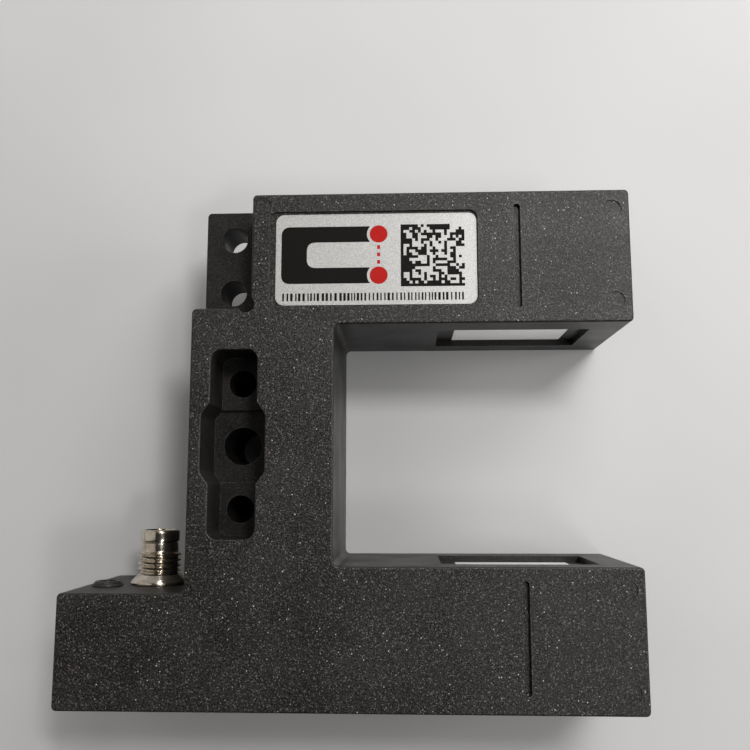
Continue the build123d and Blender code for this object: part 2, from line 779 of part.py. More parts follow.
# ---------------------------------------------------------------- plug
tail_end = -plug_tail_length
insert_end = tail_end - insert_overhang
with BuildPart() as connector_shell:
    with BuildSketch(Plane.XY.offset(plug_z)):
        with BuildLine():
            ridges = []
            for turn in range(plug_thread_turns):
                foot = plug_thread_start + turn * plug_pitch
                ridges.append((plug_root_radius, foot))
                ridges.append((plug_thread_radius, foot + (0.5 - thread_crest / 2) * plug_pitch))
                ridges.append((plug_thread_radius, foot + (0.5 + thread_crest / 2) * plug_pitch))
            thread_end = plug_thread_start + plug_thread_turns * plug_pitch
            ridges.append((plug_root_radius, thread_end))
            collar_start = plug_height - plug_collar_length
            profile = [
                (plug_bore_radius, tail_end),
                (plug_thread_radius, tail_end),
                (plug_thread_radius, 0),
                (plug_flange_radius, 0),
                (plug_flange_radius, plug_flange_rim),
                (plug_shank_radius, plug_flange_height),
                *ridges,
                (plug_neck_radius, thread_end + plug_thread_depth / 2),
                (plug_neck_radius, collar_start),
                (plug_collar_radius, collar_start),
                (plug_collar_radius, plug_height - plug_chamfer),
                (plug_collar_radius - plug_chamfer, plug_height),
                (plug_bore_radius, plug_height),
            ]
            Polyline(*[(plug_x + r, y_extension + h) for r, h in profile], close=True)
        make_face()
    revolve(axis=Axis((plug_x, y_extension, plug_z), (0, 1, 0)))
finish(connector_shell, "connector_shell")

with BuildPart() as connector_o_ring:
    with BuildSketch(Plane.XZ.offset(-y_extension)):
        with Locations((plug_x, plug_z)):
            Circle(o_ring_outer_radius)
            Circle(plug_thread_radius + snug, mode=Mode.SUBTRACT)
    extrude(amount=o_ring_section)
finish(connector_o_ring, "connector_o_ring")

with BuildPart() as connector_nut:
    with BuildSketch(Plane.XZ.offset(-(y_extension - wall))):
        with Locations((plug_x, plug_z)):
            RegularPolygon(nut_across_flats / 2, 6, major_radius=False)
            Circle(plug_thread_radius + snug, mode=Mode.SUBTRACT)
    extrude(amount=nut_thickness)
finish(connector_nut, "connector_nut")

insert_top = plug_height - plug_socket_depth
with BuildPart() as connector_insert:
    with BuildSketch(Plane.XZ.offset(-(y_extension + insert_top))):
        with Locations((plug_x, plug_z)):
            Circle(plug_bore_radius - snug)
            with GridLocations(pin_spacing, pin_spacing, 2, 2):
                Circle(pin_radius + snug, mode=Mode.SUBTRACT)
    extrude(amount=insert_top - insert_end)
finish(connector_insert, "connector_insert")

pin_top = plug_height - pin_recess
pin_end = insert_end - pin_tail
with BuildPart() as connector_pins:
    with BuildSketch(Plane.XZ.offset(-(y_extension + pin_top))):
        with Locations((plug_x, plug_z)):
            with GridLocations(pin_spacing, pin_spacing, 2, 2):
                Circle(pin_radius)
    extrude(amount=pin_top - pin_end)
    tips = connector_pins.edges().filter_by(GeomType.CIRCLE).group_by(Axis.Y)[-1]
    chamfer(tips, pin_radius / 2)
finish(connector_pins, "connector_pins")

# four short leads from the pin tails to pads on the main board
with BuildPart() as connector_leads:
    for row, z_pin in enumerate((plug_z - pin_spacing / 2, plug_z + pin_spacing / 2)):
        for x_pin in (plug_x - pin_spacing / 2, plug_x + pin_spacing / 2):
            lead_turn = y_extension + pin_end - lead_drop + row * lead_bend
            with BuildLine() as lead_path:
                FilletPolyline(
                    (x_pin, y_extension + pin_end, z_pin),
                    (x_pin, lead_turn, z_pin),
                    (x_pin, lead_turn, z_board),
                    radius=lead_bend / 2,
                )
            with BuildSketch(Plane(lead_path.line @ 0, z_dir=lead_path.line % 0)):
                Circle(lead_radius)
            sweep(path=lead_path.line)
finish(connector_leads, "connector_leads")

# ---------------------------------------------------------------- status light
with BuildPart() as light_bezel:
    with BuildSketch(Plane.XY.offset(light_z)):
        with BuildLine():
            bezel_profile = [
                (light_pipe_radius + snug, 0),
                (bezel_foot_radius, 0),
                (bezel_foot_radius, bezel_rim),
                (bezel_top_radius, bezel_height),
                (light_pipe_radius + snug, bezel_height),
            ]
            Polyline(*[(light_x + r, y_extension + h) for r, h in bezel_profile], close=True)
        make_face()
    revolve(axis=Axis((light_x, y_extension, light_z), (0, 1, 0)))
finish(light_bezel, "light_bezel")

with BuildPart() as light_pipe:
    with BuildSketch(Plane.XZ.offset(-(y_extension + bezel_height - light_pipe_sink))):
        with Locations((light_x, light_z)):
            Circle(light_pipe_radius)
    extrude(amount=light_pipe_length)
finish(light_pipe, "light_pipe")

led_top = y_extension + bezel_height - light_pipe_sink - light_pipe_length - snug
with BuildPart() as status_led:
    block(
        (light_x - status_led_width / 2, led_top - status_led_depth, light_z - status_led_width / 2),
        (light_x + status_led_width / 2, led_top, z_board),
    )
finish(status_led, "status_led")
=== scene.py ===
"""Looks of a fork-type photoelectric sensor: cast body, film label, milky windows and a nickel-plated plug.

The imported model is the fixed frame.  Every piece is built in metres in that frame, from the boxes of the
nodes that it stands for, and rides on the sensor's one body.
"""

import logging
import math
import random
from dataclasses import dataclass, field
from enum import Enum
from typing import Callable, Iterable, Sequence

import bmesh
import bpy
from mathutils import Matrix, Vector


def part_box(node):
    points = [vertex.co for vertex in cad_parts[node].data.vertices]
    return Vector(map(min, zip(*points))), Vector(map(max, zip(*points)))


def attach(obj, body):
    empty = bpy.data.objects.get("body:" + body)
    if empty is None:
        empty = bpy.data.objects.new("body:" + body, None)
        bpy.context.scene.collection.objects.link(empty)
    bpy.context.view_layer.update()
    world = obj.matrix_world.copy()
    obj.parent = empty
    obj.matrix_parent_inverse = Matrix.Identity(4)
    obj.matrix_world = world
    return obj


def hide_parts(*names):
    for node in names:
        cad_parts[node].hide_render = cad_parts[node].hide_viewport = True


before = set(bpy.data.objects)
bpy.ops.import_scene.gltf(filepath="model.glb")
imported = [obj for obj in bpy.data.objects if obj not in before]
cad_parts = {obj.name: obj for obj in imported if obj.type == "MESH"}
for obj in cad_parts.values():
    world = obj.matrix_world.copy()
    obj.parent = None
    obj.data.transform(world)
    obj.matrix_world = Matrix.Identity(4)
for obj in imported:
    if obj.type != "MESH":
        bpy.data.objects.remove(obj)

MM = 0.001
BODY = "root"
SHARP_ANGLE = math.radians(35)
MERGE_DISTANCE = 0.001 * MM
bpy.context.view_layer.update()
log = logging.getLogger("fork_sensor")

Point = tuple[float, float]
Colour = tuple[float, float, float]


# ------------------------ material sheets
class Sheet:
    """One material's node tree, with a short method for each kind of node that the finishes use."""

    def __init__(self, name: str, **shader: object) -> None:
        """Start a material with a principled shader.

        Args:
            name: name of the material.
            shader: constants for the shader's own sockets, with underscores for spaces.
        """
        self.material = bpy.data.materials.new(name)
        self.material.use_nodes = True
        self.tree = self.material.node_tree
        self.tree.nodes.clear()
        self.out = self.tree.nodes.new("ShaderNodeOutputMaterial")
        self.shader = self.tree.nodes.new("ShaderNodeBsdfPrincipled")
        self.join(self.shader.outputs["BSDF"], self.out.inputs["Surface"])
        for socket, value in shader.items():
            self.set(socket.replace("_", " "), value)

    def set(self, socket: str, value: object) -> None:
        """Set a constant on the shader itself, giving colours an alpha of one."""
        if isinstance(value, tuple) and len(value) == 3:
            value = (*value, 1.0)
        self.shader.inputs[socket].default_value = value

    def join(self, source: bpy.types.NodeSocket, target: bpy.types.NodeSocket) -> None:
        """Link two sockets."""
        self.tree.links.new(source, target)

    def feed(self, socket: str, source: bpy.types.NodeSocket) -> None:
        """Link a varying value to one of the shader's sockets."""
        self.join(source, self.shader.inputs[socket])

    def add(self, kind: str, inputs: dict[str, object] | None = None, **settings: object) -> bpy.types.Node:
        """Add a node.

        Args:
            kind: Blender's node type without its ShaderNode prefix.
            inputs: sockets, by name or index, with a constant or a source socket for each.
            settings: attributes of the node.

        Returns:
            The node.
        """
        node = self.tree.nodes.new("ShaderNode" + kind)
        for key, value in settings.items():
            setattr(node, key, value)
        for key, value in (inputs or {}).items():
            if isinstance(value, bpy.types.NodeSocket):
                self.join(value, node.inputs[key])
            else:
                node.inputs[key].default_value = value
        return node

    def place(self, stretch: Sequence[float] = (1.0, 1.0, 1.0)) -> bpy.types.NodeSocket:
        """Give the place on the object in millimetres, stretched along the axes.

        Args:
            stretch: factor along X, Y and Z.

        Returns:
            A vector socket.
        """
        source = self.add("TexCoord").outputs["Object"]
        scale = tuple(1000.0 * s for s in stretch)
        return self.add("VectorMath", {0: source, 1: scale}, operation="MULTIPLY").outputs[0]

    def noise(self, place: bpy.types.NodeSocket, size: float, detail: float = 2.0,
              rough: float = 0.5, warp: float = 0.0) -> bpy.types.NodeSocket:
        """Cloudy noise whose lumps are about `size` millimetres across."""
        settings = {"Vector": place, "Scale": 1.0 / size, "Detail": detail,
                    "Roughness": rough, "Distortion": warp}
        return self.add("TexNoise", settings).outputs["Fac"]

    def cells(self, place: bpy.types.NodeSocket, size: float,
              output: str = "Distance") -> bpy.types.NodeSocket:
        """Cells about `size` millimetres across: the distance from their middles or a colour for each."""
        return self.add("TexVoronoi", {"Vector": place, "Scale": 1.0 / size}, feature="F1").outputs[output]

    def maths(self, operation: str, *values: object, clamp: bool = False) -> bpy.types.NodeSocket:
        """Arithmetic on one, two or three values or sockets."""
        return self.add("Math", dict(enumerate(values)), operation=operation, use_clamp=clamp).outputs[0]

    def fit(self, value: bpy.types.NodeSocket, low: float, high: float,
            to_low: float = 0.0, to_high: float = 1.0) -> bpy.types.NodeSocket:
        """Map a range of values onto another, smoothly and clamped."""
        inputs = {"Value": value, "From Min": low, "From Max": high, "To Min": to_low, "To Max": to_high}
        return self.add("MapRange", inputs, interpolation_type="SMOOTHSTEP").outputs["Result"]

    def tint(self, amount: bpy.types.NodeSocket, first: Colour, second: Colour) -> bpy.types.NodeSocket:
        """Blend two colours by a varying amount."""
        node = self.add("Mix", data_type="RGBA")
        self.join(amount, node.inputs["Factor"])
        node.inputs[6].default_value = (*first, 1.0)
        node.inputs[7].default_value = (*second, 1.0)
        return node.outputs[2]

    def over(self, amount: bpy.types.NodeSocket, below: bpy.types.NodeSocket,
             colour: Colour) -> bpy.types.NodeSocket:
        """Lay a colour over a varying one by a varying amount."""
        node = self.add("Mix", data_type="RGBA")
        self.join(amount, node.inputs["Factor"])
        self.join(below, node.inputs[6])
        node.inputs[7].default_value = (*colour, 1.0)
        return node.outputs[2]

    def bump(self, height: bpy.types.NodeSocket, depth: float, strength: float = 1.0,
             under: bpy.types.NodeSocket | None = None) -> bpy.types.NodeSocket:
        """Bump of the given depth in millimetres, on top of another one if given."""
        inputs: dict[str, object] = {"Height": height, "Distance": depth * MM, "Strength": strength}
        if under is not None:
            inputs["Normal"] = under
        return self.add("Bump", inputs).outputs["Normal"]

    def edges(self, radius: float) -> bpy.types.NodeSocket:
        """One on the surface's edges, fading out within `radius` millimetres of them."""
        soft = self.add("Bevel", {"Radius": radius * MM}, samples=4).outputs["Normal"]
        normal = self.add("NewGeometry").outputs["Normal"]
        along = self.add("VectorMath", {0: soft, 1: normal}, operation="DOT_PRODUCT").outputs["Value"]
        return self.fit(along, 0.995, 0.80)

    def facing(self, axis: str, low: float = 0.80, high: float = 0.95) -> bpy.types.NodeSocket:
        """One where the surface faces along +axis, else nought."""
        normal = self.add("NewGeometry").outputs["Normal"]
        part = self.add("SeparateXYZ", {"Vector": normal}).outputs[axis]
        return self.fit(part, low, high)


# ------------------------ finishes
class Finish:
    """A finish that is made once and then shared by every piece that wears it."""

    name: str
    _made: dict[str, bpy.types.Material] = {}

    def sheet(self) -> Sheet:
        """Build the material's nodes."""
        raise NotImplementedError

    def material(self) -> bpy.types.Material:
        """The material, made on first use."""
        if self.name not in Finish._made:
            Finish._made[self.name] = self.sheet().material
        return Finish._made[self.name]

    def dress(self, piece: bpy.types.Object) -> None:
        """Put the finish on every slot of a piece."""
        slots = piece.data.materials
        if len(slots) == 0:
            slots.append(self.material())
        for index in range(len(slots)):
            slots[index] = self.material()


@dataclass(frozen=True)
class PowderCoat(Finish):
    """Fine-grained black powder coat on a casting, rougher on the labelled face, where rare bright specks
    are painted glints of its metallic pigment.
    """

    name: str
    dark: Colour = (0.0050, 0.0042, 0.0038)
    pale: Colour = (0.0225, 0.0200, 0.0188)
    bead: Colour = (0.150, 0.142, 0.136)
    # near-white colour of the painted glints
    flake_glint: Colour = (0.52, 0.51, 0.49)
    # pale colour of the painted highlight along the edges
    wear_and_edge_highlight: Colour = (0.160, 0.154, 0.148)
    grain: float = 0.24
    grain_depth: float = 0.060
    side_share: float = 0.16
    rough_from: float = 28.6
    rough_fade: float = 0.7
    cloud: float = 11.0
    edge: float = 0.30
    edge_highlight: float = 0.6
    edge_highlight_patch: float = 0.5
    rare: tuple[float, float] = (0.9900, 0.9990)
    sheen: tuple[float, float] = (0.30, 0.40)
    sheen_swing: float = 0.12
    gloss: tuple[float, float] = (0.36, 0.52)

    def sheet(self) -> Sheet:
        """Tight grain with pale beads, cloudy gloss, a few painted glints and a painted highlight along the
        edges, broken into patches.
        """
        s = Sheet(self.name)
        place = s.place()
        lumps = s.noise(place, self.grain * 1.3, 2.0, 0.75)
        broad = s.noise(place, self.cloud, 2.0)
        height_up = s.add("SeparateXYZ", {"Vector": place}).outputs["Z"]
        raised = s.fit(height_up, self.rough_from, self.rough_from + self.rough_fade)
        front = s.fit(s.maths("MULTIPLY", s.facing("Z"), raised), 0.0, 1.0, self.side_share, 1.0)
        bead_draw = s.add("SeparateColor", {"Color": s.cells(place, self.grain, "Color")}).outputs
        bead_edge = s.fit(s.cells(place, self.grain), 0.62, 0.28)
        height = s.maths("ADD", lumps, s.maths("MULTIPLY", bead_edge, 0.18))
        s.feed("Normal", s.bump(s.maths("MULTIPLY", height, front), self.grain_depth))

        tone = s.maths("ADD", s.maths("MULTIPLY", lumps, 0.85), s.maths("MULTIPLY", broad, 0.15))
        body = s.tint(s.fit(tone, 0.40, 0.62), self.dark, self.pale)
        beads = s.maths("MULTIPLY", s.fit(bead_draw[0], 0.66, 1.04), bead_edge)
        body = s.over(s.maths("MULTIPLY", beads, front), body, self.bead)
        # Painted highlight: a pale colour laid along the edges and broken into patches stands in for light
        # caught by their rounding.
        patches = s.fit(s.noise(place, self.edge_highlight_patch, 3.0, 0.7), 0.42, 0.62)
        edge_highlight = s.maths("MULTIPLY", s.edges(self.edge), patches)
        body = s.over(s.maths("MULTIPLY", edge_highlight, self.edge_highlight), body, self.wear_and_edge_highlight)
        # Painted glints: rare cells on the labelled face get a near-white colour that stands in for
        # metallic specks catching the light.
        rare = s.fit(bead_draw[1], *self.rare)
        flake_glints = s.maths("MULTIPLY", s.maths("MULTIPLY", rare, bead_edge), front)
        s.feed("Base Color", s.over(flake_glints, body, self.flake_glint))
        swing = s.fit(lumps, 0.38, 0.62, -self.sheen_swing, self.sheen_swing)
        level = s.fit(front, 0.0, 1.0, *self.sheen)
        s.feed("Specular IOR Level", s.maths("ADD", level, s.maths("MULTIPLY", swing, front)))
        s.feed("Roughness", s.fit(s.maths("ADD", lumps, broad), 0.70, 1.30, *self.gloss))
        return s


@dataclass(frozen=True)
class Nickel(Finish):
    """Nickel plate on turned brass, with turning rings along +Y."""

    name: str
    colour: Colour = (0.66, 0.61, 0.53)
    shade: Colour = (0.50, 0.44, 0.35)
    ring: float = 0.09
    cloud: float = 1.6
    gloss: tuple[float, float] = (0.12, 0.22)

    def sheet(self) -> Sheet:
        """Warm white metal whose gloss changes from ring to ring."""
        s = Sheet(self.name, Metallic=1.0)
        rings = s.noise(s.place((0.02, 1.0, 0.02)), self.ring, 3.0, 0.6)
        cloud = s.noise(s.place(), self.cloud, 3.0)
        s.feed("Base Color", s.tint(s.fit(cloud, 0.35, 0.70), self.colour, self.shade))
        uneven = s.maths("ADD", rings, s.maths("MULTIPLY", cloud, 0.4))
        s.feed("Roughness", s.fit(uneven, 0.45, 0.95, *self.gloss))
        s.feed("Normal", s.bump(rings, 0.0015, 0.5))
        return s


@dataclass(frozen=True)
class Steel(Finish):
    """Zinc-plated screw steel with a slightly blotchy gloss."""

    name: str
    colour: Colour = (0.55, 0.56, 0.57)
    stain: Colour = (0.47, 0.45, 0.40)
    gloss: tuple[float, float] = (0.22, 0.42)

    def sheet(self) -> Sheet:
        """Grey metal with fine scratches and faint warm blotches."""
        s = Sheet(self.name, Metallic=1.0)
        place = s.place()
        cloud = s.noise(place, 0.7, 3.0, 0.6)
        scratch = s.noise(s.place((1.0, 0.08, 1.0)), 0.06, 2.0, 0.5, 0.4)
        s.feed("Base Color", s.tint(s.fit(cloud, 0.35, 0.7), self.colour, self.stain))
        s.feed("Roughness", s.fit(cloud, 0.3, 0.7, *self.gloss))
        s.feed("Normal", s.bump(scratch, 0.003, 0.7))
        return s


@dataclass(frozen=True)
class MilkyPane(Finish):
    """White light-spreading plastic under a polished skin."""

    name: str
    colour: Colour = (0.89, 0.885, 0.875)
    second: Colour = (0.87, 0.865, 0.855)
    dust: Colour = (0.55, 0.55, 0.53)
    gloss: tuple[float, float] = (0.34, 0.42)

    def sheet(self) -> Sheet:
        """Nearly even white with a faint cloud, a little dust, a thin coat and a faint painted glow."""
        # The emission paints a faint glow on the pane, though it is no lamp; it stands in for light
        # scattered inside the milky plastic.
        s = Sheet(self.name, Coat_Weight=0.3, Coat_Roughness=0.30, Specular_IOR_Level=0.35,
                  Emission_Color=(0.93, 0.92, 0.91), Emission_Strength=0.17)
        place = s.place()
        cloud = s.noise(place, 3.0, 2.0)
        dust = s.fit(s.noise(place, 0.12, 2.0), 0.70, 0.80)
        body = s.tint(s.fit(cloud, 0.3, 0.7), self.colour, self.second)
        s.feed("Base Color", s.over(s.maths("MULTIPLY", dust, 0.25), body, self.dust))
        s.feed("Roughness", s.fit(cloud, 0.3, 0.7, *self.gloss))
        s.feed("Normal", s.bump(dust, 0.002, 0.3))
        return s


@dataclass(frozen=True)
class SilverFilm(Finish):
    """Silver polyester film with the fine sparkle of its pigment."""

    name: str
    colour: Colour = (0.60, 0.595, 0.59)
    dark: Colour = (0.38, 0.378, 0.376)
    pigment: float = 0.16
    wave: float = 2.2

    def sheet(self) -> Sheet:
        """Satin silver with pigment sparkle and the soft waves of film on a rough casting."""
        s = Sheet(self.name, Metallic=0.35, Specular_IOR_Level=0.5)
        place = s.place()
        pigment = s.noise(place, self.pigment, 2.0, 0.6)
        wave = s.noise(place, self.wave, 2.0)
        s.feed("Base Color", s.tint(s.fit(pigment, 0.36, 0.64), self.dark, self.colour))
        s.feed("Roughness", s.fit(pigment, 0.35, 0.65, 0.38, 0.52))
        s.feed("Normal", s.bump(wave, 0.02, 0.35, s.bump(pigment, 0.006, 0.5)))
        return s


@dataclass(frozen=True)
class Ink(Finish):
    """Thermal-print ink on film."""

    name: str
    colour: Colour
    wear_and_edge_highlight: Colour

    def sheet(self) -> Sheet:
        """Even ink with pinholes and a slightly uneven gloss."""
        s = Sheet(self.name, Specular_IOR_Level=0.10)
        place = s.place()
        pores = s.fit(s.noise(place, 0.12, 2.0, 0.6), 0.60, 0.75)
        s.feed("Base Color", s.tint(pores, self.colour, self.wear_and_edge_highlight))
        s.feed("Roughness", s.fit(s.noise(place, 0.9, 2.0), 0.3, 0.7, 0.50, 0.66))
        s.feed("Normal", s.bump(pores, 0.004, 0.4))
        return s


@dataclass(frozen=True)
class Plastic(Finish):
    """Moulded plastic or rubber with a fine mould grain."""

    name: str
    colour: Colour
    second: Colour
    gloss: float = 0.45
    grain: float = 0.12
    depth: float = 0.006

    def sheet(self) -> Sheet:
        """Two close tones, grain and uneven gloss."""
        s = Sheet(self.name, Specular_IOR_Level=0.45)
        place = s.place()
        grain = s.noise(place, self.grain, 3.0, 0.6)
        cloud = s.noise(place, 2.5, 2.0)
        s.feed("Base Color", s.tint(s.fit(cloud, 0.3, 0.7), self.colour, self.second))
        s.feed("Roughness", s.fit(cloud, 0.3, 0.7, self.gloss - 0.06, self.gloss + 0.08))
        s.feed("Normal", s.bump(grain, self.depth))
        return s


@dataclass(frozen=True)
class ClearPlastic(Finish):
    """Clear or smoked plastic for the lenses and the light pipe."""

    name: str
    colour: Colour
    clear: float = 0.9

    def sheet(self) -> Sheet:
        """Transmitting plastic with faint flow lines."""
        s = Sheet(self.name, Transmission_Weight=self.clear, IOR=1.49)
        flow = s.noise(s.place((1.0, 0.3, 1.0)), 0.8, 2.0, 0.5, 0.6)
        paler = tuple(min(1.0, c * 1.12) for c in self.colour)
        s.feed("Base Color", s.tint(s.fit(flow, 0.3, 0.7), self.colour, paler))
        s.feed("Roughness", s.fit(flow, 0.3, 0.7, 0.04, 0.10))
        s.feed("Normal", s.bump(flow, 0.002, 0.4))
        return s


@dataclass(frozen=True)
class CircuitBoard(Finish):
    """Solder resist over copper tracks on a glass-fibre board."""

    name: str
    resist: Colour = (0.010, 0.090, 0.040)
    over_copper: Colour = (0.030, 0.190, 0.080)
    via: Colour = (0.62, 0.55, 0.33)
    via_spacing: float = 1.7
    track: float = 0.9
    cross_track: float = 1.1

    def sheet(self) -> Sheet:
        """Tracks as long bands in two directions, with vias between them."""
        s = Sheet(self.name, Coat_Weight=0.3, Coat_Roughness=0.12)
        place = s.place()
        along = s.noise(s.place((0.12, 1.0, 1.0)), self.track, 0.0, 0.0)
        across = s.noise(s.place((1.0, 0.12, 1.0)), self.cross_track, 0.0, 0.0)
        tracks = s.maths("MAXIMUM", s.fit(along, 0.55, 0.58), s.fit(across, 0.60, 0.63))
        vias = s.fit(s.cells(place, self.via_spacing), 0.17, 0.14)
        body = s.tint(tracks, self.resist, self.over_copper)
        s.feed("Base Color", s.over(vias, body, self.via))
        s.feed("Metallic", vias)
        s.feed("Roughness", s.fit(s.noise(place, 0.5, 2.0), 0.3, 0.7, 0.30, 0.45))
        s.feed("Normal", s.bump(tracks, 0.03, 0.8))
        return s


@dataclass(frozen=True)
class FlexFilm(Finish):
    """Amber film with parallel conductors."""

    name: str
    film: Colour = (0.40, 0.19, 0.03)
    conductor: Colour = (0.62, 0.34, 0.09)
    pitch: float = 0.5

    def sheet(self) -> Sheet:
        """Conductors as stripes side by side along Z."""
        s = Sheet(self.name, Coat_Weight=0.4, Coat_Roughness=0.15)
        place = s.place()
        z = s.add("SeparateXYZ", {"Vector": place}).outputs["Z"]
        stripe = s.fit(s.maths("SINE", s.maths("MULTIPLY", z, 2 * math.pi / self.pitch)), -0.2, 0.4)
        cloud = s.noise(place, 1.5, 2.0)
        s.feed("Base Color", s.tint(stripe, self.film, self.conductor))
        s.feed("Roughness", s.fit(cloud, 0.3, 0.7, 0.22, 0.36))
        s.feed("Normal", s.bump(stripe, 0.02, 0.6))
        return s


@dataclass(frozen=True)
class TableTop(Finish):
    """Pale plain table."""

    name: str = "pale_table"
    colour: Colour = (0.62, 0.62, 0.63)
    second: Colour = (0.58, 0.58, 0.59)
    cloud: float = 90.0

    def sheet(self) -> Sheet:
        """Even laminate with a faint cloud."""
        s = Sheet(self.name, Specular_IOR_Level=0.25)
        place = s.place()
        cloud = s.noise(place, self.cloud, 2.0)
        s.feed("Base Color", s.tint(s.fit(cloud, 0.3, 0.7), self.colour, self.second))
        s.feed("Roughness", s.fit(s.noise(place, 0.8, 2.0), 0.3, 0.7, 0.52, 0.60))
        return s


class Coat(Enum):
    """Every finish of the sensor."""

    CASTING = PowderCoat("coated_casting")
    COVER = PowderCoat("coated_cover", side_share=0.8)
    BEZEL = PowderCoat("coated_bezel", grain_depth=0.020, side_share=0.5)
    NICKEL = Nickel("nickel_plate")
    GOLD = Nickel("gold_plate", (0.83, 0.60, 0.26), (0.70, 0.48, 0.18), 0.12)
    STEEL = Steel("screw_steel")
    CAN = Steel("capacitor_can", (0.66, 0.66, 0.66))
    PANE = MilkyPane("milky_pane")
    FILM = SilverFilm("silver_film")
    BLACK_INK = Ink("black_ink", (0.0050, 0.0048, 0.0045), (0.016, 0.016, 0.015))
    RED_INK = Ink("red_ink", (0.43, 0.012, 0.009), (0.52, 0.04, 0.03))
    RUBBER = Plastic("black_rubber", (0.018, 0.018, 0.018), (0.028, 0.028, 0.028), 0.62, 0.2, 0.01)
    HOLDER = Plastic("black_holder", (0.016, 0.016, 0.017), (0.026, 0.026, 0.027), 0.50)
    INSERT = Plastic("contact_carrier", (0.022, 0.022, 0.022), (0.035, 0.034, 0.033), 0.42)
    HEADER = Plastic("header_plastic", (0.66, 0.62, 0.52), (0.58, 0.54, 0.44), 0.40)
    CHIP = Plastic("chip_package", (0.020, 0.020, 0.021), (0.032, 0.032, 0.033), 0.48, 0.08, 0.004)
    LEAD = Plastic("lead_insulation", (0.30, 0.13, 0.04), (0.36, 0.17, 0.06), 0.38)
    DIODE = ClearPlastic("diode_resin", (0.86, 0.86, 0.78), 0.6)
    LENS = ClearPlastic("lens_plastic", (0.88, 0.90, 0.90))
    SMOKED = ClearPlastic("smoked_light", (0.16, 0.15, 0.13), 0.55)
    BOARD = CircuitBoard("circuit_board")
    FLEX = FlexFilm("flex_film")
    TABLE = TableTop()


# ------------------------ mesh tools
def new_piece(name: str, mesh: bmesh.types.BMesh, coat: Coat,
              smooth: bool = False) -> bpy.types.Object:
    """Turn a bmesh into a piece of the sensor.

    Args:
        name: name of the piece.
        mesh: its geometry in metres, which is freed.
        coat: its finish.
        smooth: whether faces shade smoothly up to the sharp angle.

    Returns:
        The object, riding on the body.
    """
    bmesh.ops.recalc_face_normals(mesh, faces=mesh.faces)
    data = bpy.data.meshes.new(name)
    mesh.to_mesh(data)
    mesh.free()
    piece = bpy.data.objects.new(name, data)
    bpy.context.scene.collection.objects.link(piece)
    if smooth:
        data.shade_smooth()
        data.set_sharp_from_angle(angle=SHARP_ANGLE)
    coat.value.dress(piece)
    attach(piece, BODY)
    log.info("%s: %d faces, %s", name, len(data.polygons), coat.value.name)
    return piece


def slab(mesh: bmesh.types.BMesh, outline: Sequence[Point], low: float, high: float) -> None:
    """Add a closed flat slab to a mesh.

    Args:
        mesh: the mesh to add to.
        outline: corners in order, in metres.
        low: Z of the lower face.
        high: Z of the upper face.
    """
    floor = [mesh.verts.new((x, y, low)) for x, y in outline]
    roof = [mesh.verts.new((x, y, high)) for x, y in outline]
    mesh.faces.new(roof)
    mesh.faces.new(list(reversed(floor)))
    count = len(outline)
    for i in range(count):
        j = (i + 1) % count
        mesh.faces.new((floor[i], floor[j], roof[j], roof[i]))


def rectangle(low: Point, high: Point) -> list[Point]:
    """Four corners of an upright rectangle, anticlockwise."""
    return [low, (high[0], low[1]), high, (low[0], high[1])]


def rounded_rectangle(low: Point, high: Point, radius: float, steps: int) -> list[Point]:
    """Corners of a rectangle whose four corners are arcs.

    Args:
        low: lower left corner.
        high: upper right corner.
        radius: corner radius.
        steps: straight pieces in each arc.

    Returns:
        Points anticlockwise.
    """
    centres = [(high[0] - radius, high[1] - radius), (low[0] + radius, high[1] - radius),
               (low[0] + radius, low[1] + radius), (high[0] - radius, low[1] + radius)]
    points: list[Point] = []
    for quarter, (cx, cy) in enumerate(centres):
        for step in range(steps + 1):
            angle = (quarter + step / steps) * math.pi / 2
            points.append((cx + radius * math.cos(angle), cy + radius * math.sin(angle)))
    return points


def turned(profile: Iterable[Point], axis_at: Vector, sides: int,
           radius_at: Callable[[float, float, float], float] | None = None) -> bmesh.types.BMesh:
    """Turn a closed profile round an axis along +Y.

    Args:
        profile: (radius, height) points in order round the section, in metres.
        axis_at: a point on the axis that height counts from.
        sides: steps round the axis.
        radius_at: gives the radius from (radius, height, angle), for a screw thread.

    Returns:
        A closed mesh.
    """
    mesh = bmesh.new()
    rows = []
    for radius, height in profile:
        row = []
        for side in range(sides):
            angle = 2 * math.pi * side / sides
            r = radius_at(radius, height, angle) if radius_at else radius
            row.append(mesh.verts.new(axis_at + Vector((r * math.cos(angle), height, r * math.sin(angle)))))
        rows.append(row)
    for row, after in zip(rows, rows[1:] + rows[:1]):
        for side in range(sides):
            up = (side + 1) % sides
            mesh.faces.new((row[side], row[up], after[up], after[side]))
    return mesh


def eased(points: Sequence[Point], radius: float, steps: int = 3) -> list[Point]:
    """Round every corner of a closed profile by at most `radius`.

    Args:
        points: corners in order.
        radius: wanted radius; a short side allows less.
        steps: straight pieces in each arc.

    Returns:
        The rounded profile.
    """
    out: list[Point] = []
    count = len(points)
    for i, point in enumerate(points):
        here = Vector(point)
        back = Vector(points[i - 1]) - here
        ahead = Vector(points[(i + 1) % count]) - here
        reach = min(radius, back.length * 0.45, ahead.length * 0.45)
        start = here + back.normalized() * reach
        end = here + ahead.normalized() * reach
        for step in range(steps + 1):
            t = step / steps
            spot = start * (1 - t) ** 2 + here * (2 * t * (1 - t)) + end * t ** 2
            out.append((spot.x, spot.y))
    return out


